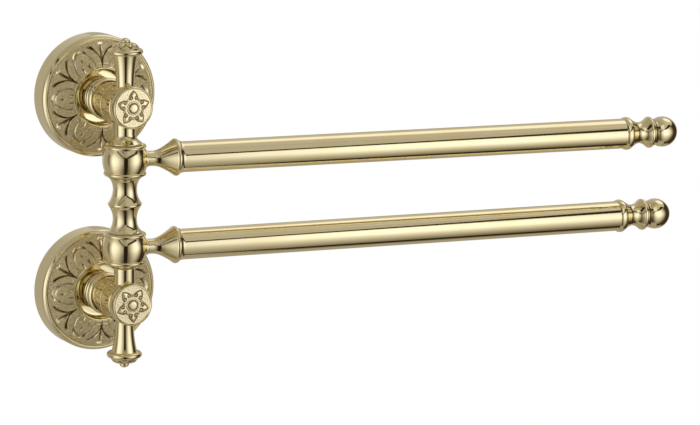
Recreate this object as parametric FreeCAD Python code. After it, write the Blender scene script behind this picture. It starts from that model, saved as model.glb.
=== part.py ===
import FreeCAD, Part
import math
import os

# Wall-mounted towel holder with two round arms that swing one above the other
# on a vertical spindle.  The spindle stands between two wall posts, each on a
# round cast rosette.
#
# Frame, in millimetres: the wall is the plane Y = 0 and the room is at Y < 0.
# +Z is up and +X runs along the wall.  The origin is on the wall, halfway
# between the two rosettes.  Every "reach" below is a distance from the wall,
# and every "along" is a distance from the spindle's axis along an arm.

# ---- driving dimensions -------------------------------------------------

POST_HEIGHT = 51.0          # centre of each rosette above or below the origin
SPINDLE_REACH = 42.5        # spindle axis to the wall
ROSETTE_RADIUS = 31.75      # 63.5 mm across
TUBE_RADIUS = 7.95          # 15.9 mm tube
TUBE_WALL = 1.0
ARM_HEIGHT = 22.9           # axis of each arm above or below the origin
BALL_ALONG = 300.8          # centre of the end ball from the spindle's axis
BALL_RADIUS = 8.1
UPPER_SWING = 7.2           # degrees forward of the wall, as the arms stand at rest
LOWER_SWING = 6.0

ROD_RADIUS = 3.0            # spindle rod, M6
ROD_CLEARANCE = 0.1         # round the rod in the fixed pieces
RUNNING_GAP = 0.06          # radial play of a bush on the rod
FACE_GAP = 0.1              # play above and below a swivel barrel
BUSH_RADIUS = 4.5
BARREL_HALF = 8.0           # half the height of a swivel barrel
BARREL_BELLY = 11.65
WASHER_THICKNESS = 0.6
WASHER_RADIUS = 8.5
NECK_END = ARM_HEIGHT + BARREL_HALF + FACE_GAP + WASHER_THICKNESS
BALUSTER_END = ARM_HEIGHT - BARREL_HALF - FACE_GAP - WASHER_THICKNESS

PLATE_RADIUS = 25.5         # wall plate hidden in the back of a rosette
PLATE_THICKNESS = 4.5
PLATE_BOSS_RADIUS = 10.0
PLATE_BOSS_REACH = 7.8
SCREW_SPACING = 34.0        # between the two wall screws of one plate
WALL_SCREW_RADIUS = 2.25
WALL_SCREW_HEAD_RADIUS = 4.25
COUNTERSINK_DEPTH = 2.0

RECESS_RADIUS = 26.0        # hollow in a rosette's back, round the wall plate
GRUB_RADIUS = 1.5           # screw in a rosette's lower edge, M3
GRUB_REACH = 2.4            # middle of the plate's edge, which the screw's tip meets
GRUB_TIP = PLATE_RADIUS + 0.05
GRUB_HEAD = 30.6

WELL_FLOOR_REACH = 10.5     # where the post stands in the rosette's well
WELL_RIM_RADIUS = 14.8
WELL_RIM_REACH = 15.4
SEAT_REACH = 8.0            # back of the rosette's floor, under the post screw's head
POST_SCREW_TIP = 37.8

SLEEVE_BACK = 23.4          # reach of the joints between the post's turned pieces
HUB_BACK = 36.6
CAP_BACK = 51.4
CAP_FRONT = 53.2
SPIGOT_RADIUS = 6.0         # spigot of the hub in the back of its cap
SPIGOT_LENGTH = 0.6
HUB_RADIUS = 10.7
HUB_SEAT = 8.7              # depth of the neck seats, from the hub's axis
NECK_RADIUS = 5.45          # necks between a hub and a barrel
STEM_RADIUS = 4.65          # narrow end of a finial

BRIM_HEIGHT = 78.7          # middle of a finial's brim, from the origin
BRIM_RADIUS = 9.1
CAP_SEAT = 79.6             # where a finial cap sits in its brim
CAP_RADIUS = 7.4
CAP_PEG_RADIUS = 2.0
ROD_HALF = 74.0             # half the length of the spindle rod

FERRULE_SEAT = 9.4          # bottom of the arm's pocket in the barrel
FERRULE_SEAT_RADIUS = 4.5
TUBE_START = 25.3           # root end of the tube, inside the trumpet ferrule
FERRULE_END = 30.0
TUBE_END = 277.6
COLLAR_END = 296.3          # where the end ball sits on its collar
PLUG_LENGTH = 10.0
STUD_RADIUS = 2.0           # M4 studs inside the arms
STUD_START = 5.5
BALL_HOLE_END = BALL_ALONG + 2.0

# ---- small tools --------------------------------------------------------

UP = FreeCAD.Vector(0, 0, 1)
ORIGIN = FreeCAD.Vector(0, 0, 0)


class Outline:
    """Half section of a turned piece, drawn as (radius, height) from the axis."""

    def __init__(self, radius, height):
        self.first = FreeCAD.Vector(radius, 0, height)
        self.last = self.first
        self.edges = []

    def line(self, radius, height):
        end = FreeCAD.Vector(radius, 0, height)
        self.edges.append(Part.makeLine(self.last, end))
        self.last = end
        return self

    def arc(self, middle, end):
        via = FreeCAD.Vector(middle[0], 0, middle[1])
        stop = FreeCAD.Vector(end[0], 0, end[1])
        self.edges.append(Part.Arc(self.last, via, stop).toShape())
        self.last = stop
        return self

    def curve(self, *points):
        path = [self.last] + [FreeCAD.Vector(r, 0, h) for r, h in points]
        spline = Part.BSplineCurve()
        spline.interpolate(path)
        self.edges.append(spline.toShape())
        self.last = path[-1]
        return self

    def dome(self, height):
        """Closes on the axis with a spherical cap of the given top height."""
        radius = self.last.x
        rise = height - self.last.z
        sphere = (radius ** 2 + rise ** 2) / (2 * rise)
        half_angle = math.asin(min(1.0, radius / sphere)) / 2
        via = (sphere * math.sin(half_angle), height - sphere * (1 - math.cos(half_angle)))
        return self.arc(via, (0, height))

    def turned(self):
        if self.last.distanceToPoint(self.first) > 1e-6:
            self.edges.append(Part.makeLine(self.last, self.first))
        face = Part.Face(Part.Wire(self.edges))
        solid = face.revolve(ORIGIN, UP, 360)
        if solid.ShapeType != "Solid":
            solid = solid.Solids[0]
        if solid.Volume < 0:
            solid.reverse()
        return solid


def rod(radius, low, high):
    """Plain cylinder on the Z axis."""
    return Part.makeCylinder(radius, high - low, FreeCAD.Vector(0, 0, low), UP)


def placed(shape, rotations=(), shift=(0, 0, 0)):
    """A copy turned by (axis, degrees) steps about the origin, then shifted."""
    copy = shape.copy()
    for axis, degrees in rotations:
        copy.rotate(ORIGIN, FreeCAD.Vector(*axis), degrees)
    copy.translate(FreeCAD.Vector(*shift))
    return copy


def from_wall(shape, height):
    """Stands a piece drawn along +Z out of the wall, at the given height."""
    return placed(shape, [((1, 0, 0), 90)], (0, 0, height))


def on_arm(shape, arm):
    """Lays a piece drawn along +Z along an arm, given as its height and swing."""
    height, swing = arm
    turns = [((0, 1, 0), 90), ((0, 0, 1), -swing)]
    return placed(shape, turns, (0, -SPINDLE_REACH, height))


def on_spindle(shape, side=1):
    """Puts a piece on the spindle; side -1 turns it upside down."""
    turns = [] if side > 0 else [((1, 0, 0), 180)]
    return placed(shape, turns, (0, -SPINDLE_REACH, 0))


def save(name, shape):
    solids = shape.Solids
    if not solids or not shape.isValid():
        raise ValueError("bad shape: " + name)
    result = solids[0] if len(solids) == 1 else Part.makeCompound(solids)
    result.exportStep("parts/" + name + ".step")
    print(name, len(solids), round(sum(solid.Volume for solid in solids), 1))


# ---- wall side: plate, rosette, post, hub and cap -----------------------


def wall_plate():
    """Round steel plate with two countersunk screw holes and a hollow boss."""
    boss_bore = 6.2
    plate = rod(PLATE_RADIUS, 0, PLATE_THICKNESS).fuse(rod(PLATE_BOSS_RADIUS, 0, PLATE_BOSS_REACH))
    plate = plate.cut(rod(boss_bore, -1, PLATE_BOSS_REACH + 1))
    for side in (-1, 1):
        place = FreeCAD.Vector(side * SCREW_SPACING / 2, 0, 0)
        hole = Part.makeCylinder(WALL_SCREW_RADIUS, PLATE_THICKNESS, place, UP)
        sink = FreeCAD.Vector(place.x, 0, PLATE_THICKNESS - COUNTERSINK_DEPTH)
        cone = Part.makeCone(WALL_SCREW_RADIUS, WALL_SCREW_HEAD_RADIUS, COUNTERSINK_DEPTH, sink, UP)
        plate = plate.cut(hole).cut(cone)
    return plate.removeSplitter()


def grub_bore(radius, start, end):
    """Cylinder across a rosette's lower edge, drawn in the rosette's own frame."""
    place = FreeCAD.Vector(0, -start, GRUB_REACH)
    return Part.makeCylinder(radius, end - start, place, FreeCAD.Vector(0, -1, 0))


def rosette():
    """Cast flange: plain side, beaded shoulder, domed field, polished well."""
    recess_reach = PLATE_THICKNESS + 0.2
    field_edge = (29.5, 11.3)
    outline = Outline(RECESS_RADIUS, 0).line(ROSETTE_RADIUS, 0).line(ROSETTE_RADIUS, 9.4)
    outline.arc((31.4, 10.8), (30.7, 11.5))
    outline.arc((30.2, 11.8), (29.7, 11.5))
    outline.line(*field_edge)
    outline.curve((22.4, 13.6), (WELL_RIM_RADIUS + 0.7, WELL_RIM_REACH - 0.1))
    outline.arc((WELL_RIM_RADIUS + 0.2, WELL_RIM_REACH), (WELL_RIM_RADIUS - 0.2, WELL_RIM_REACH - 0.4))
    outline.line(WELL_RIM_RADIUS - 0.6, WELL_FLOOR_REACH + 1.0)
    outline.arc((13.9, 10.8), (13.3, WELL_FLOOR_REACH))
    outline.line(0, WELL_FLOOR_REACH).line(0, SEAT_REACH)
    outline.line(PLATE_BOSS_RADIUS + 0.1, SEAT_REACH).line(PLATE_BOSS_RADIUS + 0.1, recess_reach)
    outline.line(RECESS_RADIUS, recess_reach)
    body = outline.turned()
    body = body.cut(rod(ROD_RADIUS, SEAT_REACH - 1, WELL_FLOOR_REACH + 1))
    return body.cut(grub_bore(GRUB_RADIUS, RECESS_RADIUS - 1, ROSETTE_RADIUS + 1))


def grub_screw():
    """Small headless screw that locks the rosette to the edge of its plate."""
    hexagon_radius = 0.85
    screw = grub_bore(GRUB_RADIUS, GRUB_TIP, GRUB_HEAD)
    corners = []
    for step in range(7):
        angle = math.radians(60 * step)
        across = hexagon_radius * math.cos(angle)
        reach = GRUB_REACH + hexagon_radius * math.sin(angle)
        corners.append(FreeCAD.Vector(across, -GRUB_HEAD, reach))
    socket = Part.Face(Part.makePolygon(corners)).extrude(FreeCAD.Vector(0, 2, 0))
    return screw.cut(socket)


def post_screw():
    """Screw that draws the rosette and the post's turned pieces up to the hub."""
    head_radius = 5.0
    head_height = 3.0
    socket_radius = 2.4
    shank = rod(ROD_RADIUS, SEAT_REACH, POST_SCREW_TIP)
    head = rod(head_radius, SEAT_REACH - head_height, SEAT_REACH)
    socket = rod(socket_radius, SEAT_REACH - head_height, SEAT_REACH - 1)
    return head.fuse(shank).removeSplitter().cut(socket)


def post_base():
    """Stepped foot of the post: two rounded rings and a bead."""
    outline = Outline(0, WELL_FLOOR_REACH).line(9.4, WELL_FLOOR_REACH).line(9.4, 12.4)
    outline.arc((10.4, 14.0), (9.8, 15.6))
    outline.line(9.8, 16.0)
    outline.arc((10.6, 17.3), (10.0, 18.6))
    outline.line(10.0, 19.2)
    outline.arc((11.0, 21.2), (10.0, 23.0))
    outline.line(9.8, 23.0).line(9.8, SLEEVE_BACK).line(0, SLEEVE_BACK)
    return outline.turned().cut(rod(ROD_RADIUS, 0, 60))


def post_sleeve():
    """Plain drum of the post with a raised ring at its front end."""
    outline = Outline(0, SLEEVE_BACK).line(9.8, SLEEVE_BACK).line(9.8, 24.2)
    outline.line(10.2, 24.6).line(10.2, 33.0)
    outline.arc((10.3, 33.5), (10.7, 33.8))
    outline.line(10.9, 34.2).line(10.9, 35.8)
    outline.arc((10.8, 36.2), (10.4, 36.3))
    outline.line(10.2, 36.3).line(10.2, HUB_BACK).line(0, HUB_BACK)
    return outline.turned().cut(rod(ROD_RADIUS, 0, 60))


def hub(side):
    """Housing at the post's front, bored from top to bottom for the spindle."""
    outline = Outline(0, HUB_BACK).line(10.3, HUB_BACK).line(10.3, 37.0)
    outline.line(HUB_RADIUS, 37.3).line(HUB_RADIUS, 46.3)
    outline.line(HUB_RADIUS - 0.3, 46.6).line(9.9, 46.6).line(9.9, 47.6)
    outline.line(10.6, 47.6)
    outline.arc((10.95, 49.1), (10.6, 50.6))
    outline.line(9.9, 50.6).line(9.9, CAP_BACK).line(SPIGOT_RADIUS, CAP_BACK)
    outline.line(SPIGOT_RADIUS, CAP_BACK + SPIGOT_LENGTH).line(0, CAP_BACK + SPIGOT_LENGTH)
    body = from_wall(outline.turned().cut(rod(ROD_RADIUS, 0, POST_SCREW_TIP)), 0)
    outer_seat = rod(STEM_RADIUS, HUB_SEAT, HUB_RADIUS + 1)
    inner_seat = rod(NECK_RADIUS, -HUB_RADIUS - 1, -HUB_SEAT)
    upright = rod(ROD_RADIUS + ROD_CLEARANCE, -HUB_RADIUS, HUB_RADIUS)
    for cutter in (upright, outer_seat, inner_seat):
        body = body.cut(on_spindle(cutter, side))
    return placed(body, (), (0, 0, side * POST_HEIGHT))


def hub_cap():
    """Front medallion: raised rim round a sunk face with a button."""
    face = CAP_FRONT - 0.6
    outline = Outline(0, CAP_BACK + SPIGOT_LENGTH).line(SPIGOT_RADIUS, CAP_BACK + SPIGOT_LENGTH)
    outline.line(SPIGOT_RADIUS, CAP_BACK).line(10.6, CAP_BACK)
    outline.arc((10.9, 51.9), (10.85, 52.5))
    outline.arc((10.55, 53.05), (10.1, CAP_FRONT))
    outline.line(9.7, face).line(2.3, face)
    outline.dome(CAP_FRONT + 0.4)
    return outline.turned()


def make_wall_side(name, side):
    height = side * POST_HEIGHT
    save(name + "_wall_plate", from_wall(wall_plate(), height))
    save(name + "_rosette", from_wall(rosette(), height))
    save(name + "_grub_screw", from_wall(grub_screw(), height))
    save(name + "_post_screw", from_wall(post_screw(), height))
    save(name + "_post_base", from_wall(post_base(), height))
    save(name + "_post_sleeve", from_wall(post_sleeve(), height))
    save(name + "_hub", hub(side))
    save(name + "_hub_cap", from_wall(hub_cap(), height))


# ---- spindle stack ------------------------------------------------------


def finial():
    """Flared tube with a brim, screwed on an end of the spindle rod."""
    outline = Outline(0, POST_HEIGHT + HUB_SEAT).line(STEM_RADIUS, POST_HEIGHT + HUB_SEAT)
    outline.line(STEM_RADIUS, 62.0)
    outline.curve((4.8, 65.0), (5.05, 68.2), (5.5, 71.8), (6.1, 75.0), (6.6, 77.1))
    outline.line(7.5, 77.2)
    outline.arc((BRIM_RADIUS, BRIM_HEIGHT), (BRIM_RADIUS - 0.8, 80.0))
    outline.line(CAP_RADIUS, 80.0).line(CAP_RADIUS, CAP_SEAT).line(0, CAP_SEAT)
    body = outline.turned()
    return body.cut(rod(ROD_RADIUS, 0, ROD_HALF)).cut(rod(CAP_PEG_RADIUS, 0, BRIM_HEIGHT * 2))


def finial_cap():
    """Domed rosette with a button, pressed into the top of a finial."""
    outline = Outline(0, ROD_HALF + 1.0).line(CAP_PEG_RADIUS, ROD_HALF + 1.0)
    outline.line(CAP_PEG_RADIUS, CAP_SEAT).line(CAP_RADIUS, CAP_SEAT).line(CAP_RADIUS, 80.1)
    outline.arc((6.5, 81.5), (5.0, 82.4))
    outline.line(2.4, 83.2).line(2.3, 83.5)
    outline.arc((2.45, 84.2), (1.95, 84.9)).dome(85.7)
    return outline.turned()


def upper_neck():
    """Stem under the upper hub, flared to the width of the swivel barrel."""
    top = POST_HEIGHT - HUB_SEAT
    outline = Outline(0, top).line(NECK_RADIUS, top).line(NECK_RADIUS, 36.4)
    outline.curve((5.7, 35.1), (6.4, 33.8), (7.5, 32.7), (8.7, NECK_END + 0.2))
    outline.line(8.7, NECK_END).line(0, NECK_END)
    return outline.turned().cut(rod(ROD_RADIUS + ROD_CLEARANCE, 0, 60))


def lower_neck():
    """Short round-shouldered spacer that stands on the lower hub."""
    bottom = POST_HEIGHT - HUB_SEAT
    outline = Outline(0, bottom).line(NECK_RADIUS, bottom).line(NECK_RADIUS, 34.0)
    outline.arc((5.1, 33.0), (4.6, 32.7))
    outline.line(4.6, NECK_END).line(0, NECK_END)
    return outline.turned().cut(rod(ROD_RADIUS + ROD_CLEARANCE, 0, 60))


def baluster():
    """Turned spacer between the two swivel barrels, waisted above and below a ridge."""
    end = BALUSTER_END
    outline = Outline(0, end).line(8.9, end)
    outline.curve((7.75, 13.1), (6.65, 10.9), (6.15, 7.6), (6.9, 3.6), (8.45, 0.7))
    outline.arc((8.7, 0), (8.45, -0.7))
    outline.curve((6.9, -3.6), (6.15, -7.6), (6.65, -10.9), (7.75, -13.1), (8.9, -end))
    outline.line(0, -end)
    return outline.turned().cut(rod(ROD_RADIUS + ROD_CLEARANCE, -60, 60))


def friction_washers():
    """Four nylon washers, one over and one under each swivel barrel."""
    rings = []
    for side in (-1, 1):
        for low in (BALUSTER_END, NECK_END - WASHER_THICKNESS):
            ring = rod(WASHER_RADIUS, low, low + WASHER_THICKNESS)
            ring = ring.cut(rod(ROD_RADIUS + ROD_CLEARANCE, low - 1, low + 2))
            rings.append(on_spindle(ring, side))
    return Part.makeCompound(rings)


def make_spindle():
    save("spindle_rod", on_spindle(rod(ROD_RADIUS, -ROD_HALF, ROD_HALF)))
    for name, side in (("top", 1), ("bottom", -1)):
        save(name + "_finial", on_spindle(finial(), side))
        save(name + "_finial_cap", on_spindle(finial_cap(), side))
    save("upper_neck", on_spindle(upper_neck()))
    save("lower_neck", on_spindle(lower_neck(), -1))
    save("baluster", on_spindle(baluster()))
    save("friction_washers", friction_washers())


# ---- swinging arms ------------------------------------------------------


def barrel():
    """Swivel barrel with a bead at each end and a pocket for the arm."""
    half = BARREL_HALF
    outline = Outline(0, -half).line(9.7, -half)
    outline.arc((10.95, -half + 0.95), (10.35, -half + 1.9))
    outline.arc((BARREL_BELLY, 0), (10.35, half - 1.9))
    outline.arc((10.95, half - 0.95), (9.7, half))
    outline.line(0, half)
    body = outline.turned().cut(rod(BUSH_RADIUS, -half, half))
    pocket = placed(rod(FERRULE_SEAT_RADIUS, FERRULE_SEAT, 20), [((0, 1, 0), 90)])
    stud_hole = placed(rod(STUD_RADIUS, 0, 20), [((0, 1, 0), 90)])
    return body.cut(pocket).cut(stud_hole)


def barrel_bush():
    """Nylon sleeve pressed into the barrel, turning on the spindle rod."""
    bore = ROD_RADIUS + RUNNING_GAP
    return rod(BUSH_RADIUS, -BARREL_HALF, BARREL_HALF).cut(rod(bore, -BARREL_HALF, BARREL_HALF))


def ferrule():
    """Trumpet from the barrel to the tube, with a small round shoulder at its root."""
    outline = Outline(0, FERRULE_SEAT).line(FERRULE_SEAT_RADIUS, FERRULE_SEAT)
    outline.line(FERRULE_SEAT_RADIUS, 11.3)
    outline.arc((4.35, 11.8), (3.9, 12.1))
    outline.line(3.9, 14.5)
    outline.curve((4.25, 17.1), (5.05, 19.2), (6.15, 21.3), (7.5, 23.5), (9.05, 25.8))
    outline.arc((9.6, 26.9), (9.0, 28.2))
    outline.curve((8.45, 29.0), (8.2, FERRULE_END))
    outline.line(0, FERRULE_END)
    body = outline.turned().cut(rod(TUBE_RADIUS, TUBE_START, FERRULE_END + 1))
    return body.cut(rod(STUD_RADIUS, 0, FERRULE_END))


def tube():
    bore = TUBE_RADIUS - TUBE_WALL
    return rod(TUBE_RADIUS, TUBE_START, TUBE_END).cut(rod(bore, TUBE_START, TUBE_END))


def tube_plug(start):
    bore = TUBE_RADIUS - TUBE_WALL
    return rod(bore, start, start + PLUG_LENGTH).cut(rod(STUD_RADIUS, start, start + PLUG_LENGTH))


def end_collar():
    """Bead, waist and cup turned in one piece, between the tube and the ball."""
    outline = Outline(0, TUBE_END).line(TUBE_RADIUS, TUBE_END)
    outline.arc((8.75, 279.8), (TUBE_RADIUS - 0.1, 281.9))
    outline.curve((6.5, 284.0), (5.55, 286.8), (6.35, 289.7), (8.1, 292.1))
    outline.arc((8.35, 292.9), (8.1, 293.7))
    outline.curve((7.3, 294.9), (6.8, COLLAR_END))
    outline.line(0, COLLAR_END)
    return outline.turned().cut(rod(STUD_RADIUS, TUBE_END, COLLAR_END))


def end_ball():
    """Ball with a flat seat and a blind hole for the stud."""
    ball = Part.makeSphere(BALL_RADIUS, FreeCAD.Vector(0, 0, BALL_ALONG))
    ball = ball.cut(rod(20, 0, COLLAR_END))
    return ball.cut(rod(STUD_RADIUS, 0, BALL_HOLE_END))


def make_arm(name, height, swing):
    arm = (height, swing)
    swivel = placed(barrel(), [((0, 0, 1), -swing)], (0, -SPINDLE_REACH, height))
    save(name + "_barrel", swivel)
    save(name + "_barrel_bush", placed(barrel_bush(), (), (0, -SPINDLE_REACH, height)))
    save(name + "_ferrule", on_arm(ferrule(), arm))
    save(name + "_root_stud", on_arm(rod(STUD_RADIUS, STUD_START, TUBE_START + PLUG_LENGTH), arm))
    save(name + "_root_plug", on_arm(tube_plug(TUBE_START), arm))
    save(name + "_tube", on_arm(tube(), arm))
    save(name + "_end_plug", on_arm(tube_plug(TUBE_END - PLUG_LENGTH), arm))
    save(name + "_end_collar", on_arm(end_collar(), arm))
    save(name + "_end_stud", on_arm(rod(STUD_RADIUS, TUBE_END - PLUG_LENGTH, BALL_HOLE_END), arm))
    save(name + "_end_ball", on_arm(end_ball(), arm))


os.makedirs("parts", exist_ok=True)
for level, direction, rest_swing in (("upper", 1, UPPER_SWING), ("lower", -1, LOWER_SWING)):
    make_wall_side(level, direction)
    make_arm(level + "_arm", direction * ARM_HEIGHT, rest_swing)
make_spindle()
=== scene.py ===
import math

import bmesh
import bpy
import numpy as np
from mathutils import Matrix, Vector


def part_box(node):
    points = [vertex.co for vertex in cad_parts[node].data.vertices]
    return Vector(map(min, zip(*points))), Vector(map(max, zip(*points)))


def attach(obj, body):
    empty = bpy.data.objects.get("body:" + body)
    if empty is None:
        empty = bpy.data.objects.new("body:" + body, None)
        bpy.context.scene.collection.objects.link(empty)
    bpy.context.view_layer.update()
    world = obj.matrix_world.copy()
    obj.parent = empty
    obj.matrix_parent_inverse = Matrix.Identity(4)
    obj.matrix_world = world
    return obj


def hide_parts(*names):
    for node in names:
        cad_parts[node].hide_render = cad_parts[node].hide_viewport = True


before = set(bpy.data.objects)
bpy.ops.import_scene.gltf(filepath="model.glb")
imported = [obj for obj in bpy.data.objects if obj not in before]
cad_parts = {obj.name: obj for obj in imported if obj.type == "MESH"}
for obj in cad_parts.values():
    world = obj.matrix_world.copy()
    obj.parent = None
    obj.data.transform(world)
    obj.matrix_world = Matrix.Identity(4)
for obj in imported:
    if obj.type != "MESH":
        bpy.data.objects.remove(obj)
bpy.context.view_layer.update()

MM = 0.001
FULL_TURN = 2 * math.pi
WHITE = (1, 1, 1, 1)

# The solids of the frame keep their shape and get a finish. The rosettes, the hub caps and the
# finial caps are replaced by turned meshes that carry the cast relief.


def direction(azimuth, elevation):
    """A unit vector from the wall's front, in degrees to the right and up."""
    a = math.radians(azimuth)
    e = math.radians(elevation)
    return Vector((math.sin(a) * math.cos(e), -math.cos(a) * math.cos(e), math.sin(e)))


# ---- camera, at the photograph's viewing angle -------------------------------

VIEW = (-28.0, 10.92)               # azimuth and elevation, in degrees
ROLL = math.radians(0.78)
TARGET = Vector((0.15292, 0.0, -0.0240))
DISTANCE = 2.2570
FOCAL_WIDTHS = 6.00024              # focal length in image widths
SENSOR_WIDTH = 36.0


def make_camera():
    back = direction(*VIEW)
    right = (-back).cross(Vector((0, 0, 1))).normalized()
    up = back.cross(right)
    turned_right = right * math.cos(ROLL) + up * math.sin(ROLL)
    turned_up = up * math.cos(ROLL) - right * math.sin(ROLL)
    data = bpy.data.cameras.new("camera")
    data.sensor_fit = "HORIZONTAL"
    data.sensor_width = SENSOR_WIDTH
    data.lens = FOCAL_WIDTHS * SENSOR_WIDTH
    data.clip_start = 0.05
    data.clip_end = 20.0
    camera = bpy.data.objects.new("camera", data)
    bpy.context.scene.collection.objects.link(camera)
    rotation = Matrix((turned_right, turned_up, back)).transposed().to_4x4()
    camera.matrix_world = Matrix.Translation(TARGET + back * DISTANCE) @ rotation
    bpy.context.scene.camera = camera


make_camera()
bpy.context.scene.view_settings.view_transform = "Standard"

# ---- node helpers ------------------------------------------------------------


class Shader:
    """Short way to write a node tree. Every value may be a number, a colour or a socket."""

    def __init__(self, tree):
        self.tree = tree
        tree.nodes.clear()

    def node(self, kind, **settings):
        made = self.tree.nodes.new(kind)
        for key, value in settings.items():
            setattr(made, key, value)
        return made

    def link(self, value, socket):
        if hasattr(value, "is_output"):
            self.tree.links.new(value, socket)
        else:
            socket.default_value = value

    def math(self, operation, a, b, clamp=False):
        made = self.node("ShaderNodeMath", operation=operation, use_clamp=clamp)
        self.link(a, made.inputs[0])
        self.link(b, made.inputs[1])
        return made.outputs[0]

    def times(self, a, b):
        return self.math("MULTIPLY", a, b)

    def minus(self, a, b):
        return self.math("SUBTRACT", a, b)

    def ramp(self, value, low, high, to_low=0.0, to_high=1.0):
        made = self.node("ShaderNodeMapRange", interpolation_type="SMOOTHSTEP")
        for socket, given in zip(made.inputs, (value, low, high, to_low, to_high)):
            self.link(given, socket)
        return made.outputs[0]

    def mix(self, factor, a, b):
        made = self.node("ShaderNodeMix", data_type="RGBA")
        self.link(factor, made.inputs["Factor"])
        self.link(a, made.inputs[6])
        self.link(b, made.inputs[7])
        return made.outputs[2]

    def curve(self, value, points):
        made = self.node("ShaderNodeFloatCurve")
        line = made.mapping.curves[0]
        line.points[0].location = points[0]
        line.points[-1].location = points[-1]
        for x, y in points[1:-1]:
            line.points.new(x, y)
        made.mapping.update()
        self.link(value, made.inputs["Value"])
        return made.outputs[0]

    def split(self, vector):
        made = self.node("ShaderNodeSeparateXYZ")
        self.link(vector, made.inputs[0])
        return made.outputs

    def white_share(self, for_camera, for_mirrors):
        """How much white a ray meets: one share for the camera, another for metal and glass."""
        path = self.node("ShaderNodeLightPath").outputs
        mirrored = self.math("ADD", path["Is Glossy Ray"], path["Is Transmission Ray"], clamp=True)
        seen = self.times(path["Is Camera Ray"], for_camera)
        return self.math("MAXIMUM", seen, self.times(mirrored, for_mirrors))


# ---- studio: a room, two soft panels, a floor and a dark card ------------------
# Places are in metres. The right panel stands in front of the wall, the left one beside the object.
# Each has a slit: a dim band across it, which draws the dark lines on the bars and the barrels.

GAP = (0.018, 0.013, 0.008, 1)          # the dim room between the panels
SIDE = (0.40, 0.365, 0.30, 1)           # the room beside and behind the object
CEILING = (0.56, 0.53, 0.475, 1)
CEILING_LEFT = (0.40, 0.37, 0.31, 1)
WINDOW = (113.0, 53.0)                  # a bright patch high behind the object, azimuth and elevation
WINDOW_LIGHT = (1.15, 1.12, 1.06, 1)
WARM = (1.0, 0.93, 0.72, 1)             # the dim parts of a panel
MIRRORED_WHITE = 0.35                   # how much of the white background metal and glass show

FLOOR = -1.4
FLOOR_RADIUS = 0.6
FLOOR_COLOUR = (0.70, 0.66, 0.60, 1)
FLOOR_CORNERS = 96
FLOOR_SEEN_WHITE = 0.55                 # white added to the floor for the camera
FLOOR_MIRRORED_WHITE = 0.04             # and for metal and glass
CARD_PLACE = 0.62                       # a dark card beside the bars' ends
CARD_Y = (-0.19, 0.09)
CARD_Z = (-0.45, 0.20)
CARD_COLOUR = (0.10, 0.08, 0.055, 1)

# How a panel's light runs across it and up it, as (place, level).
RIGHT_DEPTH = 0.48                      # in front of the wall
RIGHT_X = (-0.07, 1.30)
RIGHT_Z = (FLOOR, 0.90)
RIGHT_LEVEL = 1.30
RIGHT_ACROSS = [
    (-0.07, 0.16), (-0.02, 0.27), (0.07, 0.56), (0.17, 0.84), (0.28, 1.0), (0.40, 0.93),
    (0.54, 0.70), (0.68, 0.48), (0.82, 0.30), (0.96, 0.17), (1.30, 0.06),
]
RIGHT_UP = [
    (FLOOR, 0.18), (-1.0, 0.24), (-0.66, 0.28), (-0.46, 0.36), (-0.33, 0.46), (-0.22, 0.60),
    (-0.13, 0.79), (-0.06, 0.95), (0.0, 1.0), (0.05, 1.0), (0.12, 0.96), (0.22, 0.80),
    (0.32, 0.62), (0.60, 0.5), (0.90, 0.4),
]
LEFT_DEPTH = 0.45                       # to the left of the origin
LEFT_Y = (0.12, -0.84)
LEFT_Z = (FLOOR, 0.60)
LEFT_LEVEL = 1.25
LEFT_ACROSS = [
    (0.12, 0.12), (0.05, 0.36), (0.0, 0.60), (-0.05, 0.88), (-0.12, 1.0), (-0.22, 0.92),
    (-0.33, 0.77), (-0.42, 0.64), (-0.50, 0.52), (-0.60, 0.42), (-0.74, 0.32), (-0.84, 0.26),
]
LEFT_UP = [
    (FLOOR, 0.20), (-1.0, 0.25), (-0.80, 0.30), (-0.60, 0.40), (-0.41, 0.52), (-0.29, 0.68),
    (-0.18, 0.84), (-0.08, 0.97), (0.0, 1.0), (0.08, 0.92), (0.15, 0.75), (0.20, 0.58),
    (0.27, 0.47), (0.60, 0.40),
]

# A slit as (place across, its lower edge, its upper edge), and the even level above it.
RIGHT_SLIT = [
    (-0.07, 0.10, 0.14), (0.10, 0.145, 0.19), (0.277, 0.20, 0.255), (0.43, 0.25, 0.37),
    (0.60, 0.35, 0.56), (0.80, 0.50, 0.72), (1.30, 0.68, 0.88),
]
RIGHT_OVER_SLIT = 0.38
LEFT_SLIT = [
    (0.12, 0.40, 0.40), (-0.05, 0.36, 0.37), (-0.26, 0.30, 0.325), (-0.50, 0.25, 0.285),
    (-0.84, 0.19, 0.235),
]
LEFT_OVER_SLIT = 0.34
SLIT_SOFTNESS = 0.012                   # as a share of the panel's height
TOP_FADE = 0.90                         # from here up, as a share of the panel's height


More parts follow.
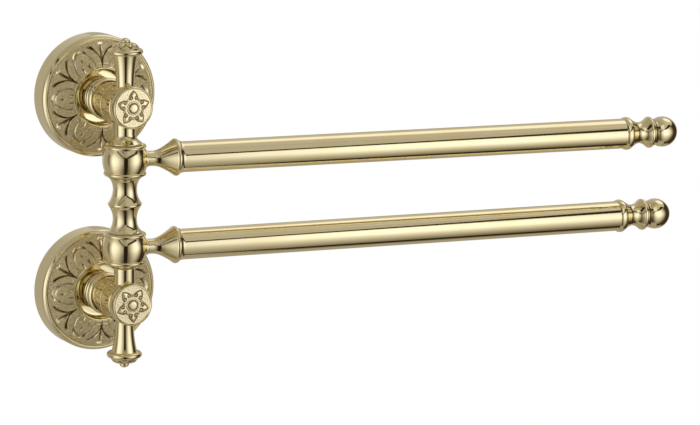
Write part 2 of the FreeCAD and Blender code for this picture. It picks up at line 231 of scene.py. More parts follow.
def make_world():
    """A dim room with paler walls, a ceiling and a bright patch, and a white background."""
    world = bpy.data.worlds.new("world")
    bpy.context.scene.world = world
    world.use_nodes = True
    s = Shader(world.node_tree)
    look = s.node("ShaderNodeTexCoord").outputs["Generated"]
    across, away, upward = s.split(look)

    def behind_panel(depth, toward_it, along, span, top):
        """1 where a direction from the origin meets a panel below its top."""
        low, high = sorted(span)
        reach = s.math("DIVIDE", depth, s.math("MAXIMUM", toward_it, 0.001))
        place = s.times(along, reach)
        past_low = s.ramp(place, low - 0.01, low + 0.01)
        short_of_high = s.ramp(place, high + 0.05, high - 0.05)
        under_top = s.ramp(s.times(upward, reach), top + 0.02, top - 0.06)
        met = s.times(s.times(past_low, short_of_high), under_top)
        return s.times(met, s.ramp(toward_it, 0.02, 0.05))

    walls = s.mix(s.ramp(away, -0.12, 0.22), GAP, SIDE)
    # the wall at the left of the object is darker
    walls = s.mix(s.times(s.ramp(across, -0.78, -0.94), 0.7), walls, GAP)
    # the ceiling starts higher toward the right, and the panels hide it
    ceiling_start = s.ramp(across, 0.30, 0.80, 0.20, 0.50)
    overhead = s.ramp(s.minus(upward, ceiling_start), 0.0, 0.05)
    right = behind_panel(RIGHT_DEPTH, s.times(away, -1.0), across, RIGHT_X, RIGHT_Z[1])
    left = behind_panel(LEFT_DEPTH, s.times(across, -1.0), away, LEFT_Y, LEFT_Z[1])
    overhead = s.times(overhead, s.minus(1.0, s.math("MAXIMUM", left, right)))
    ceiling = s.mix(s.ramp(across, -0.25, 0.45), CEILING_LEFT, CEILING)
    toward_window = s.node("ShaderNodeVectorMath", operation="DOT_PRODUCT")
    s.link(look, toward_window.inputs[0])
    s.link(direction(*WINDOW), toward_window.inputs[1])
    in_window = s.ramp(toward_window.outputs["Value"], 0.93, 0.985)
    room = s.mix(overhead, walls, s.mix(in_window, ceiling, WINDOW_LIGHT))
    # the white background: all round for the camera, straight behind the object for metal and glass
    straight_behind = s.ramp(away, 0.85, 1.0, 0.0, MIRRORED_WHITE)
    both = s.node("ShaderNodeMixShader")
    s.link(s.white_share(1.0, straight_behind), both.inputs[0])
    for colour, socket in ((room, both.inputs[1]), (WHITE, both.inputs[2])):
        light = s.node("ShaderNodeBackground")
        s.link(colour, light.inputs["Color"])
        s.link(light.outputs[0], socket)
    s.link(both.outputs[0], s.node("ShaderNodeOutputWorld").inputs[0])


def shares(span, points):
    """Points (place, level) with the place as its share of a span."""
    low, high = span
    return [((place - low) / (high - low), level) for place, level in points]


def make_panel(name, low, high, facing, level, across, upward, slit_low, slit_high, over_slit):
    """A soft panel between two corners. Its profiles and the slit's edges run from 0 to 1 over it."""
    size = high - low
    width = math.hypot(size.x, size.y)
    data = bpy.data.lights.new(name, "AREA")
    data.shape = "RECTANGLE"
    data.size = width
    data.size_y = size.z
    data.energy = level * math.pi * width * size.z
    data.use_nodes = True
    s = Shader(data.node_tree)
    x, y, _ = s.split(s.node("ShaderNodeNewGeometry").outputs["Parametric"])
    light = s.times(s.curve(x, across), s.curve(y, upward))
    below = s.ramp(s.minus(s.curve(x, slit_low), y), 0.0, SLIT_SOFTNESS)
    above = s.ramp(s.minus(y, s.curve(x, slit_high)), 0.0, SLIT_SOFTNESS)
    above = s.times(above, s.ramp(y, 1.0, TOP_FADE))
    light = s.math("ADD", s.times(light, below), s.times(above, over_slit))
    glow = s.node("ShaderNodeEmission")
    s.link(light, glow.inputs["Strength"])
    s.link(s.mix(s.ramp(light, 0.0, 0.8), WARM, WHITE), glow.inputs["Color"])
    s.link(glow.outputs[0], s.node("ShaderNodeOutputLight").inputs[0])
    lamp = bpy.data.objects.new(name, data)
    bpy.context.scene.collection.objects.link(lamp)
    turn = Vector(facing).to_track_quat("-Z", "Y").to_matrix().to_4x4()
    lamp.matrix_world = Matrix.Translation((low + high) / 2) @ turn
    lamp.visible_camera = False


def slit_edge(slit, edge, width, height):
    """The lower (1) or upper (2) edge of a slit, as shares of the panel's width and height."""
    across = shares(width, [(row[0], row[edge]) for row in slit])
    return [(share, (z - height[0]) / (height[1] - height[0])) for share, z in across]


def make_panels():
    make_panel(
        "right_panel",
        Vector((RIGHT_X[0], -RIGHT_DEPTH, RIGHT_Z[0])),
        Vector((RIGHT_X[1], -RIGHT_DEPTH, RIGHT_Z[1])),
        (0, 1, 0), RIGHT_LEVEL, shares(RIGHT_X, RIGHT_ACROSS), shares(RIGHT_Z, RIGHT_UP),
        slit_edge(RIGHT_SLIT, 1, RIGHT_X, RIGHT_Z), slit_edge(RIGHT_SLIT, 2, RIGHT_X, RIGHT_Z),
        RIGHT_OVER_SLIT,
    )
    make_panel(
        "left_panel",
        Vector((-LEFT_DEPTH, LEFT_Y[1], LEFT_Z[0])),
        Vector((-LEFT_DEPTH, LEFT_Y[0], LEFT_Z[1])),
        (1, 0, 0), LEFT_LEVEL, shares(LEFT_Y, LEFT_ACROSS), shares(LEFT_Z, LEFT_UP),
        slit_edge(LEFT_SLIT, 1, LEFT_Y, LEFT_Z), slit_edge(LEFT_SLIT, 2, LEFT_Y, LEFT_Z),
        LEFT_OVER_SLIT,
    )


def stage_plane(name, corners, colour, seen_white=0.0, mirrored_white=0.0):
    """A flat part of the studio, with white added to it for the camera and for metal and glass."""
    mesh = bpy.data.meshes.new(name)
    mesh.from_pydata(corners, [], [tuple(range(len(corners)))])
    plane = bpy.data.objects.new(name, mesh)
    bpy.context.scene.collection.objects.link(plane)
    material = bpy.data.materials.new(name)
    material.use_nodes = True
    s = Shader(material.node_tree)
    plain = s.node("ShaderNodeBsdfDiffuse")
    s.link(colour, plain.inputs["Color"])
    glow = s.node("ShaderNodeEmission")
    s.link(s.white_share(seen_white, mirrored_white), glow.inputs["Strength"])
    both = s.node("ShaderNodeAddShader")
    s.link(plain.outputs[0], both.inputs[0])
    s.link(glow.outputs[0], both.inputs[1])
    s.link(both.outputs[0], s.node("ShaderNodeOutputMaterial").inputs[0])
    mesh.materials.append(material)
    return plane


def make_floor():
    angles = np.linspace(0, FULL_TURN, FLOOR_CORNERS, endpoint=False)
    corners = [(FLOOR_RADIUS * math.cos(a), FLOOR_RADIUS * math.sin(a), FLOOR) for a in angles]
    stage_plane("floor", corners, FLOOR_COLOUR, FLOOR_SEEN_WHITE, FLOOR_MIRRORED_WHITE)


def make_dark_card():
    """The card draws the dark edge on the balls. The camera doesn't see it."""
    low_y, high_y = CARD_Y
    low_z, high_z = CARD_Z
    sides = ((low_y, low_z), (high_y, low_z), (high_y, high_z), (low_y, high_z))
    card = stage_plane("dark_card", [(CARD_PLACE, y, z) for y, z in sides], CARD_COLOUR)
    card.visible_camera = False


make_world()
make_panels()
make_floor()
make_dark_card()

# ---- finishes ------------------------------------------------------------------
# Textures read places in metres: a scale of 1000 repeats about once in a millimetre.

BRASS = (0.900, 0.800, 0.525, 1)
BRASS_WARM = (0.880, 0.765, 0.475, 1)
BRASS_CUT_SHADE = (0.17, 0.105, 0.04, 1)     # painted shade at the bottom of the cuts
BRASS_MATT = (0.985, 0.880, 0.600, 1)   # the stippled ground
BRASS_PIT_SHADE = (0.46, 0.35, 0.16, 1)       # painted shade in the stipple's grain
STEEL = (0.55, 0.55, 0.56, 1)
STEEL_BRIGHT = (0.68, 0.68, 0.69, 1)
NYLON = (0.66, 0.55, 0.34, 1)
NYLON_PALE = (0.78, 0.67, 0.44, 1)

BRASS_CLOUD = 45.0
BRASS_HAIR = 600.0
HAIR_STRETCH = (1.0, 1.0, 14.0)
HAIR_HEIGHT = 0.000004
GRAIN_CELLS = 1300.0
GRAIN_NOISE = 1500.0
GRAIN_HEIGHT = 0.0005
STEEL_CLOUD = 90.0
STEEL_GRAIN = 500.0
STEEL_STRETCH = (1.0, 1.0, 10.0)
STEEL_HEIGHT = 0.00001
NYLON_CLOUD = 300.0
NYLON_HEIGHT = 0.00002


def surface(name):
    material = bpy.data.materials.new(name)
    material.use_nodes = True
    s = Shader(material.node_tree)
    skin = s.node("ShaderNodeBsdfPrincipled")
    s.link(skin.outputs[0], s.node("ShaderNodeOutputMaterial").inputs[0])
    place = s.node("ShaderNodeTexCoord").outputs["Object"]
    return material, s, skin, place


def dress(s, skin, colour, metallic, roughness, normal):
    looks = {"Base Color": colour, "Metallic": metallic, "Roughness": roughness, "Normal": normal}
    for name, value in looks.items():
        s.link(value, skin.inputs[name])


def noise(s, place, scale, detail=3.0, roughness=0.5, stretch=None):
    if stretch:
        moved = s.node("ShaderNodeMapping")
        s.link(place, moved.inputs["Vector"])
        s.link(stretch, moved.inputs["Scale"])
        place = moved.outputs[0]
    made = s.node("ShaderNodeTexNoise")
    looks = {"Vector": place, "Scale": scale, "Detail": detail, "Roughness": roughness}
    for name, value in looks.items():
        s.link(value, made.inputs[name])
    return made.outputs["Fac"]


def bump(s, height, distance, strength):
    made = s.node("ShaderNodeBump")
    s.link(strength, made.inputs["Strength"])
    s.link(distance, made.inputs["Distance"])
    s.link(height, made.inputs["Height"])
    return made.outputs[0]


def clouded_brass(s, cloud):
    return s.mix(s.ramp(cloud, 0.35, 0.75), BRASS, BRASS_WARM)


def make_brass():
    """Polished and lacquered brass, with the faint cloudiness and hairlines that polishing leaves."""
    material, s, skin, place = surface("polished_brass")
    cloud = noise(s, place, BRASS_CLOUD)
    hair = noise(s, place, BRASS_HAIR, detail=2.0, roughness=0.6, stretch=HAIR_STRETCH)
    rough = s.math("ADD", s.ramp(cloud, 0.3, 0.7, 0.055, 0.10), s.ramp(hair, 0.45, 0.75, 0.0, 0.03))
    dress(s, skin, clouded_brass(s, cloud), 1.0, rough, bump(s, hair, HAIR_HEIGHT, 0.6))
    return material


def make_cast_brass():
    """Brass with a stippled ground between polished cuts; shade is painted into its colour, darker in the
    deep places of the cuts and in the stipple's grain.
    """
    material, s, skin, place = surface("cast_brass")
    ground = s.node("ShaderNodeAttribute", attribute_name="stipple").outputs["Fac"]
    depth = s.node("ShaderNodeAttribute", attribute_name="depth").outputs["Fac"]
    clean = s.mix(s.times(ground, 0.9), clouded_brass(s, noise(s, place, BRASS_CLOUD)), BRASS_MATT)
    # painted shade: the deeper a cut, the darker its colour
    cut_shaded = s.mix(s.times(s.ramp(depth, 0.15, 0.85), 0.92), clean, BRASS_CUT_SHADE)
    grains = s.node("ShaderNodeTexVoronoi", feature="SMOOTH_F1")
    s.link(place, grains.inputs["Vector"])
    s.link(GRAIN_CELLS, grains.inputs["Scale"])
    grit = s.math("ADD", grains.outputs["Distance"], s.times(noise(s, place, GRAIN_NOISE), 0.6))
    # painted shade: the stipple's grain is darker where its cells meet
    pit_shade = s.times(s.ramp(grit, 0.45, 1.0), s.times(ground, 0.42))
    rough = s.math("ADD", 0.09, s.times(ground, 0.52))
    pitted = bump(s, grit, GRAIN_HEIGHT, s.times(ground, 0.9))
    dress(s, skin, s.mix(pit_shade, cut_shaded, BRASS_PIT_SHADE), 1.0, rough, pitted)
    return material


def make_steel():
    material, s, skin, place = surface("steel")
    colour = s.mix(noise(s, place, STEEL_CLOUD), STEEL, STEEL_BRIGHT)
    grain = noise(s, place, STEEL_GRAIN, roughness=0.6, stretch=STEEL_STRETCH)
    rough = s.ramp(grain, 0.3, 0.7, 0.26, 0.42)
    dress(s, skin, colour, 1.0, rough, bump(s, grain, STEEL_HEIGHT, 0.5))
    return material


def make_nylon():
    material, s, skin, place = surface("nylon")
    cloud = noise(s, place, NYLON_CLOUD)
    colour = s.mix(cloud, NYLON, NYLON_PALE)
    rough = s.ramp(cloud, 0.3, 0.7, 0.38, 0.5)
    dress(s, skin, colour, 0.0, rough, bump(s, cloud, NYLON_HEIGHT, 0.4))
    return material


FINISHES = {"polished_brass": make_brass(), "steel": make_steel(), "nylon": make_nylon()}
CAST = make_cast_brass()

# ---- drawing the relief ----------------------------------------------------------
# The relief is worked out on a fine polar grid, in millimetres. A motif is drawn once, as points
# (along, across) from the centre, and is the same on both sides of its middle line.

CURVE_STEPS = 5


def arc(start, through, end, count):
    """Points on the circle through three places, the first left out."""
    (ax, ay), (bx, by), (cx, cy) = start, through, end
    a, b, c = (x * x + y * y for x, y in (start, through, end))
    d = 2 * (ax * (by - cy) + bx * (cy - ay) + cx * (ay - by))
    middle_x = (a * (by - cy) + b * (cy - ay) + c * (ay - by)) / d
    middle_y = (a * (cx - bx) + b * (ax - cx) + c * (bx - ax)) / d
    angles = [math.atan2(y - middle_y, x - middle_x) for x, y in (start, through, end)]
    turn = (angles[2] - angles[0]) % FULL_TURN
    if (angles[1] - angles[0]) % FULL_TURN > turn:
        turn -= FULL_TURN
    radius = math.hypot(ax - middle_x, ay - middle_y)
    points = []
    for k in range(1, count + 1):
        angle = angles[0] + turn * k / count
        points.append((middle_x + radius * math.cos(angle), middle_y + radius * math.sin(angle)))
    return points


class Profile:
    """Outline of a turned piece, as points (radius, height) in millimetres."""

    def __init__(self, radius, height):
        self.points = [(radius, height)]

    def line(self, radius, height, count=1):
        x, y = self.points[-1]
        for k in range(1, count + 1):
            self.points.append((x + (radius - x) * k / count, y + (height - y) * k / count))
        return self

    def arc(self, through, end, count=8):
        self.points += arc(self.points[-1], through, end, count)
        return self


def rounded(points):
    """A smooth line through the points."""
    p = np.array([points[0]] + list(points) + [points[-1]], float)
    made = []
    for a, b, c, d in zip(p[:-3], p[1:-2], p[2:-1], p[3:]):
        for k in range(CURVE_STEPS):
            u = k / CURVE_STEPS
            bend = (2 * a - 5 * b + 4 * c - d) * u * u
            twist = (3 * b - 3 * c + d - a) * u ** 3
            made.append(0.5 * (2 * b + (c - a) * u + bend + twist))
    made.append(p[-1])
    return np.array(made)


def rise(low, high, value):
    """0 below low, 1 above high, and smooth between them."""
    share = np.clip((value - low) / (high - low), 0, 1)
    return share * share * (3 - 2 * share)


def fall(low, high, value):
    return 1 - rise(low, high, value)


def bulge(gap, half_width):
    """1 where the gap is 0, round down to 0 at the half width."""
    return np.clip(1 - (gap / half_width) ** 2, 0, 1)


def near(place, line):
    """Distance to a line of points, and how far along it the nearest place is, 0 to 1."""
    best = np.full(len(place), np.inf)
    where = np.zeros(len(place))
    lengths = np.hypot(*(line[1:] - line[:-1]).T)
    total = lengths.sum()
    run = 0.0
    for a, b, length in zip(line[:-1], line[1:], lengths):
        along = np.clip(((place - a) @ (b - a)) / (length * length), 0, 1)
        gap = np.hypot(*(place - a - along[:, None] * (b - a)).T)
        closer = gap < best
        best[closer] = gap[closer]
        where[closer] = (run + along[closer] * length) / total
        run += length
    return best, where


def inside(place, outline):
    """Whether each place lies within a closed outline."""
    hit = np.zeros(len(place), bool)
    x, y = place.T
    for (ax, ay), (bx, by) in zip(outline, np.roll(outline, -1, axis=0)):
        if ay != by:
            hit ^= ((ay > y) != (by > y)) & (x < (bx - ax) * (y - ay) / (by - ay) + ax)
    return hit


def spread(value, where):
    """A number, or a list of numbers spread evenly along a line, at each place on it."""
    if np.ndim(value) == 0:
        return value
    return np.interp(where, np.linspace(0, 1, len(value)), value)


def groove(place, line, half_width, depth):
    """Depth of a rounded groove along a line. Its half width and depth may be lists."""
    gap, where = near(place, line)
    return spread(depth, where) * bulge(gap, spread(half_width, where))


def recess(place, steep, gentle, depth, wall=0.3, close=()):
    """A cut that drops within a wall's width at its steep side and comes up slowly to its gentle side."""
    within = inside(place, np.vstack([steep, *close, gentle[::-1]]))
    made = np.zeros(len(place))
    steep_gap = near(place[within], steep)[0]
    gentle_gap = near(place[within], gentle)[0]
    share = steep_gap / (steep_gap + gentle_gap + 1e-9)
    made[within] = depth * np.clip(steep_gap / wall, 0, 1) * (1 - share) ** 0.8
    return made


def fold(radius, angle, count, start=0.0):
    """Places in one motif's own frame: along its middle line, and across it without sign."""
    pitch = FULL_TURN / count
    off = (angle - start + pitch / 2) % pitch - pitch / 2
    return np.stack([radius * np.cos(off), np.abs(radius * np.sin(off))], 1)


# ---- the three reliefs -----------------------------------------------------------
# Each gives the height change, how stippled each place is and how deep it lies, 0 to 1.

# the arch on the rosette, six times round, and the stem between two of them
ARCHES = 6
OVAL = rounded([
    (15.8, 4.8), (16.6, 5.2), (18.5, 5.4), (20.4, 5.1), (22.5, 4.35), (24.0, 3.1), (25.0, 1.6),
    (25.4, 0.0),
])
CROWN_IN = rounded([(22.5, 4.35), (24.0, 3.1), (25.0, 1.6), (25.4, 0.0)])
CROWN_OUT = rounded([
    (22.9, 4.65), (24.4, 4.3), (25.6, 3.75), (26.3, 3.2), (26.9, 2.4), (27.4, 1.0), (27.6, 0.0),
])
CHANNEL_IN = rounded([
    (26.0, 5.8), (24.1, 7.5), (22.1, 8.5), (20.4, 9.05), (18.4, 9.2), (16.4, 8.75),
    (14.6, 8.05), (13.3, 7.55),
])
CHANNEL_OUT = rounded([
    (26.0, 5.85), (26.8, 6.4), (26.6, 7.6), (24.7, 9.0), (22.8, 9.7), (21.0, 10.0), (19.6, 10.05),
])
CHANNEL_END = np.array([(13.3, 7.68), (18.9, 10.91)])
LOBE_SIDE = rounded([(19.6, 3.4), (18.8, 2.75), (17.6, 2.4), (16.6, 2.3), (15.7, 2.4)])
SHAFT_SIDE = rounded([(19.7, 3.3), (19.0, 2.05), (18.1, 1.2), (17.3, 1.2), (16.5, 1.4), (15.7, 1.9)])
DROP = np.array([(20.9, 0.0), (21.7, 0.0), (22.7, 0.0), (23.8, 0.0)])
FOOT = np.array([(16.9, 5.8), (15.4, 8.2)])
LOBE = np.array([(17.10, 3.75), (17.11, 3.76)])
STEM = np.array([(18.0, 0.0), (21.0, 0.0), (26.7, 0.0)])
STEM_TOP_IN = np.array([(27.2, 2.3), (26.6, 0.0)])
STEM_TOP_OUT = rounded([(27.25, 2.35), (28.0, 1.6), (28.6, 0.0)])
ARCH_DEPTH = 1.1


def rosette_relief(radius, angle):
    arch = fold(radius, angle, ARCHES)
    stem = fold(radius, angle, ARCHES, math.pi / ARCHES)
    cut = np.max([
        groove(arch, OVAL, [0.45, 0.45, 0.4, 0.35], [0.45, 0.5, 0.4, 0.45]),
        recess(arch, CROWN_IN, CROWN_OUT, 0.75),
        recess(arch, CHANNEL_IN, CHANNEL_OUT, 1.15, close=[CHANNEL_END]),
        recess(arch, LOBE_SIDE, SHAFT_SIDE, 0.7, wall=0.25),
        groove(arch, DROP, [0.35, 0.65, 0.45, 0.12], [0.6, 0.8, 0.4, 0.2]),
        groove(stem, STEM, [0.2, 0.6, 0.8, 0.8], [0.9, 1.0, 0.8, 0.55]),
        recess(stem, STEM_TOP_IN, STEM_TOP_OUT, 0.55),
    ], axis=0)
    lobes = 0.28 * bulge(near(arch, LOBE)[0], 1.6)
    foot = groove(arch, FOOT, 0.35, 0.28)
    fade = rise(14.9, 15.9, radius) * fall(28.8, 29.3, radius)
    height = (lobes + foot - cut) * fade
    field = rise(15.9, 16.3, radius) * fall(29.0, 29.3, radius)
    ground = fall(0.02, 0.10, cut) * fall(0.05, 0.2, foot) * field
    ground *= 1 - 0.5 * rise(0.05, 0.25, lobes)
    return height, ground, np.clip(cut * fade / ARCH_DEPTH, 0, 1)


# the five spade petals on a hub cap, with a bead at each side of a petal's foot
PETALS = 5
SPADE = rounded([(9.0, 0.0), (8.3, 0.8), (7.4, 1.55), (6.4, 2.2), (5.8, 2.25), (5.3, 2.1)])
SPADE_FILL = np.vstack([SPADE, [(4.6, 1.3), (4.6, 0.0)]])
BEAD = np.array([(5.25, 1.6), (5.26, 1.6)])
SCALLOP = np.array([(5.0, 0.0), (5.3, 0.0)])
PETAL_DEPTH = 0.45
CAP_STIPPLE = 0.3


def hub_cap_relief(start):
    """The relief of a hub cap whose first petal points to an angle."""
    def relief(radius, angle):
        petal = fold(radius, angle, PETALS, start)
        between_petals = fold(radius, angle, PETALS, start + math.pi / PETALS)
        edge = near(petal, SPADE)[0]
        bead = near(petal, BEAD)[0]
        bowed = inside(petal, SPADE_FILL) * 0.46 * np.sqrt(np.clip(edge / 1.3, 0, 1))
        disc = 0.30 * fall(3.2, 3.7, radius)
        scallop = 0.30 * bulge(near(between_petals, SCALLOP)[0], 0.7)
        beads = 0.62 * np.sqrt(bulge(bead, 0.68))
        line = 0.55 * bulge(edge, 0.45)
        moat = 0.70 * bulge(radius - 2.6, 0.38)
        hook = 0.50 * bulge(bead - 0.95, 0.34) * (bead > 0.62)
        cut = np.max([line, moat, hook], axis=0)
        fade = fall(9.3, 9.6, radius)
        height = (bowed + disc + scallop - cut) * fade
        height = np.maximum(height, beads * fade) * (radius > 2.25)
        field = rise(3.6, 3.9, radius) * fall(9.4, 9.6, radius)
        ground = fall(0.0, 0.08, bowed) * fall(0.02, 0.10, cut) * field * fall(0.05, 0.2, beads)
        ground = np.maximum(ground, 0.25 * rise(0.0, 0.08, bowed))
        return height, CAP_STIPPLE * ground, np.clip(cut * fade / PETAL_DEPTH, 0, 1)
    return relief


# a wreath of eight pointed leaves round the button of a finial cap, with a bead between two leaves
LEAVES = 8
LEAF = rounded([(6.9, 0.0), (6.2, 0.75), (5.3, 1.4), (4.3, 1.5), (3.4, 1.2)])
LEAF_FILL = np.vstack([LEAF, [(2.6, 1.0), (2.6, 0.0)]])
LEAF_BEAD = np.array([(5.90, 0.0), (5.91, 0.0)])
FLUTES = 6
LEAF_DEPTH = 0.45


def finial_cap_relief(radius, angle):
    leaf = fold(radius, angle, LEAVES)
    between_leaves = fold(radius, angle, LEAVES, math.pi / LEAVES)
    edge = near(leaf, LEAF)[0]
    bowed = inside(leaf, LEAF_FILL) * 0.42 * np.sqrt(np.clip(edge / 0.9, 0, 1))
    beads = 0.4 * np.sqrt(bulge(near(between_leaves, LEAF_BEAD)[0], 0.5))
    vein = 0.22 * bulge(leaf[:, 1], 0.22) * rise(3.2, 3.6, radius) * fall(5.6, 6.2, radius)
    outline = 0.34 * bulge(edge, 0.30)
    moat = 0.35 * bulge(radius - 2.75, 0.3)
    worked = rise(2.6, 2.7, radius) * fall(6.9, 7.25, radius)
    cut = np.max([outline, vein, moat], axis=0) * worked
    # on the button, a ring round its tip and shallow flutes
    ring = 0.35 * bulge(radius - 0.85, 0.25)
    waves = 0.5 - 0.5 * np.cos(FLUTES * angle)
    flutes = 0.22 * waves * rise(0.9, 1.3, radius) * fall(2.05, 2.3, radius)
    height = (np.maximum(bowed, beads) - cut) * worked * (radius > 2.45)
    height -= np.maximum(ring, flutes) * (radius < 2.3)
    ground = fall(0.0, 0.08, bowed) * fall(0.02, 0.1, cut) * worked * fall(0.05, 0.2, beads)
    depth = np.maximum(cut, ring * (radius < 1.2)) / LEAF_DEPTH
    return height, ground * (radius > 2.7), np.clip(depth, 0, 1)


# ---- turned pieces with their relief ------------------------------------------------

ROSETTE_SEGMENTS = 1080
HUB_CAP_SEGMENTS = 720
FINIAL_CAP_SEGMENTS = 600
FACE_ROWS = 86                      # rows over a rosette's field or a hub cap's face
DRILL_SEGMENTS = 48
SMOOTH_BELOW = math.radians(42)
# where a hub cap's first petal points, in degrees from the right toward up
FIRST_PETAL = {"upper": 90.0, "lower": 56.5}


def turned(name, points, face, segments, relief):
    """A body of revolution about its own +Z from a closed profile.

    The profile's points from the first number of face up to the second carry the relief.
    """
    rows = np.array(points, float)
    here = np.arange(segments)
    beside = np.roll(here, -1)
    radius = np.repeat(rows[:, 0], segments)
    level = np.repeat(rows[:, 1], segments)
    turn = np.tile(here * FULL_TURN / segments, len(rows))
    worked = slice(face[0] * segments, face[1] * segments)
    level[worked] += relief(radius[worked], turn[worked])[0]
    places = np.stack([radius * np.cos(turn), radius * np.sin(turn), level], 1) * MM
    starts = np.arange(len(rows)) * segments
    quads = []
    for row, other in zip(starts, np.roll(starts, -1)):
        quads.append(np.stack([row + here, row + beside, other + beside, other + here], 1))
    mesh = bpy.data.meshes.new(name)
    mesh.from_pydata(places.tolist(), [], np.vstack(quads).tolist())
    made = bmesh.new()
    made.from_mesh(mesh)
    on_axis = [v for v in made.verts if math.hypot(v.co.x, v.co.y) < 1e-7]
    if on_axis:
        bmesh.ops.remove_doubles(made, verts=on_axis, dist=1e-6)
        bmesh.ops.dissolve_degenerate(made, edges=made.edges, dist=1e-7)
    bmesh.ops.recalc_face_normals(made, faces=made.faces)
    made.to_mesh(mesh)
    made.free()
    return mesh


def drilled(mesh, radius, start, end):
    """The mesh with a round hole from start to end, in millimetres."""
    start = Vector(start) * MM
    end = Vector(end) * MM
    across = radius * MM
    made = bmesh.new()
    bmesh.ops.create_cone(
        made, cap_ends=True, segments=DRILL_SEGMENTS,
        radius1=across, radius2=across, depth=(end - start).length,
    )
    drill_mesh = bpy.data.meshes.new("drill")
    made.to_mesh(drill_mesh)
    made.free()
    drill = bpy.data.objects.new("drill", drill_mesh)
    work = bpy.data.objects.new("work", mesh)
    for thing in (drill, work):
        bpy.context.scene.collection.objects.link(thing)
    turn = (end - start).to_track_quat("Z", "Y").to_matrix().to_4x4()
    drill.matrix_world = Matrix.Translation((start + end) / 2) @ turn
    cut = work.modifiers.new("hole", "BOOLEAN")
    cut.operation = "DIFFERENCE"
    cut.solver = "MANIFOLD"
    cut.object = drill
    bpy.context.view_layer.update()
    result = bpy.data.meshes.new_from_object(work.evaluated_get(bpy.context.evaluated_depsgraph_get()))
    for thing in (drill, work):
        bpy.data.objects.remove(thing)
    return result


def mark_relief(mesh, relief, inner, outer, above):
    """Store how stippled and how deep the worked face is, for its finish, which paints shade into the deep
    places.

    The face lies between two radii and above a height, in millimetres.
    """
    places = np.empty(len(mesh.vertices) * 3)
    mesh.vertices.foreach_get("co", places)
    x, y, z = places.reshape(-1, 3).T / MM
    radius = np.hypot(x, y)
    face = (radius > inner) & (radius < outer) & (z > above)
    _, ground, depth = relief(radius, np.arctan2(y, x))
    for name, values in (("stipple", ground), ("depth", depth)):
        layer = mesh.attributes.new(name, "FLOAT", "POINT")
        layer.data.foreach_set("value", np.where(face, values, 0.0).astype(np.float32))
    mesh.shade_smooth()
    mesh.set_sharp_from_angle(angle=SMOOTH_BELOW)


def add_relief(node, mesh, place):
    """A piece of cast brass that stands in for a solid of the wall side."""
    piece = bpy.data.objects.new(node + "_relief", mesh)
    bpy.context.scene.collection.objects.link(piece)
    piece.matrix_world = place
    mesh.materials.clear()
    mesh.materials.append(CAST)
    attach(piece, "wall_frame")
    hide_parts(node)


def middle(node):
    """Middle of a solid of the frame, in millimetres to a hundredth."""
    low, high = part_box(node)
    return [round((a + b) / 2 / MM, 2) for a, b in zip(low, high)]


def from_wall(side):
    """Stands a turned piece out from the wall, on the upper or lower post's axis."""
    height = middle(side + "_wall_plate")[2] * MM
    return Matrix(((1, 0, 0, 0), (0, 0, -1, 0), (0, 1, 0, height), (0, 0, 0, 1)))


def on_spindle(way):
    """Stands a turned piece on the spindle's axis, upright (1) or upside down (-1)."""
    return Matrix(((1, 0, 0, 0), (0, way, 0, middle("spindle_rod")[1] * MM), (0, 0, way, 0), (0, 0, 0, 1)))


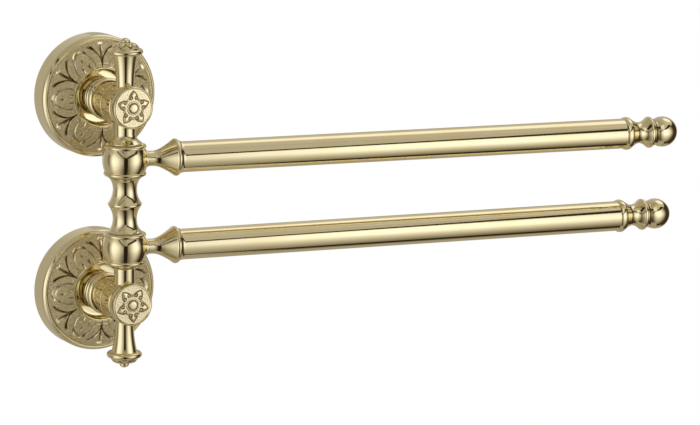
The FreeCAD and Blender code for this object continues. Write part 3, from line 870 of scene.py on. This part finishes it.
def make_rosettes():
    rosette_radius = 31.75
    recess_radius = 26.0
    recess_reach = 4.7
    boss_radius = 10.1
    seat = 8.0
    well_floor = 10.5
    screw_radius = 3.0
    grub_radius = 1.5
    grub_reach = 2.4
    profile = Profile(recess_radius, 0.0).line(rosette_radius, 0.0, 3).line(rosette_radius, 9.4, 10)
    profile.arc((31.4, 10.8), (30.7, 11.5)).arc((30.2, 11.8), (29.7, 11.5), 6).line(29.5, 11.3)
    first = len(profile.points)
    profile.arc((22.4, 13.6), (15.5, 15.3), FACE_ROWS)
    last = len(profile.points) + 2
    profile.arc((15.0, 15.4), (14.6, 15.0), 6).line(14.2, 11.5, 8)
    profile.arc((13.9, 10.8), (13.3, well_floor), 6).line(screw_radius, well_floor, 8)
    profile.line(screw_radius, seat, 2).line(boss_radius, seat, 4).line(boss_radius, recess_reach, 2)
    profile.line(recess_radius, recess_reach, 6).line(recess_radius, 0.0, 4)
    mesh = turned("rosette", profile.points[:-1], (first, last), ROSETTE_SEGMENTS, rosette_relief)
    # the grub screw's hole runs down through the edge, from inside the recess
    mesh = drilled(mesh, grub_radius, (0.0, -24.0, grub_reach), (0.0, -34.0, grub_reach))
    mark_relief(mesh, rosette_relief, inner=14.7, outer=29.6, above=10.6)
    for side in ("upper", "lower"):
        add_relief(side + "_rosette", mesh, from_wall(side))


def make_hub_caps():
    cap_back = 51.4
    spigot_radius = 6.0
    spigot_end = 52.0
    face = 52.6
    profile = Profile(0.0, spigot_end).line(spigot_radius, spigot_end, 4)
    profile.line(spigot_radius, cap_back).line(10.6, cap_back, 3)
    profile.arc((10.9, 51.9), (10.85, 52.5), 5).arc((10.55, 53.05), (10.1, 53.2), 6).line(9.7, face, 3)
    first = len(profile.points)
    profile.line(2.3, face, FACE_ROWS)
    last = len(profile.points) - 1
    profile.line(2.15, 53.25, 5).arc((2.0, 53.42), (1.75, 53.5), 5).arc((0.9, 53.58), (0.0, 53.6), 8)
    for side, start in FIRST_PETAL.items():
        relief = hub_cap_relief(math.radians(start))
        mesh = turned(side + "_hub_cap", profile.points, (first, last), HUB_CAP_SEGMENTS, relief)
        mark_relief(mesh, relief, inner=2.2, outer=9.75, above=52.0)
        add_relief(side + "_hub_cap", mesh, from_wall(side))


def make_finial_caps():
    peg_foot = 75.0
    peg_radius = 2.0
    cap_seat = 79.6
    cap_radius = 7.4
    profile = Profile(0.0, peg_foot).line(peg_radius, peg_foot, 2).line(peg_radius, cap_seat, 3)
    profile.line(cap_radius, cap_seat, 4).line(cap_radius, 80.1)
    first = len(profile.points) + 2
    profile.arc((6.5, 81.5), (5.0, 82.4), 36).line(2.4, 83.2, 30).line(2.3, 83.5)
    profile.arc((2.45, 84.2), (1.95, 84.9)).arc((1.05, 85.5), (0.0, 85.7), 16)
    last = len(profile.points) - 1
    mesh = turned("finial_cap", profile.points, (first, last), FINIAL_CAP_SEGMENTS, finial_cap_relief)
    mark_relief(mesh, finial_cap_relief, inner=0.0, outer=7.35, above=80.2)
    for side, way in (("top", 1), ("bottom", -1)):
        add_relief(side + "_finial_cap", mesh, on_spindle(way))


make_rosettes()
make_hub_caps()
make_finial_caps()

# ---- finishes of the solids that stay --------------------------------------------

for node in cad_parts.values():
    for slot in node.material_slots:
        slot.material = FINISHES[slot.material.name.split(".")[0]]
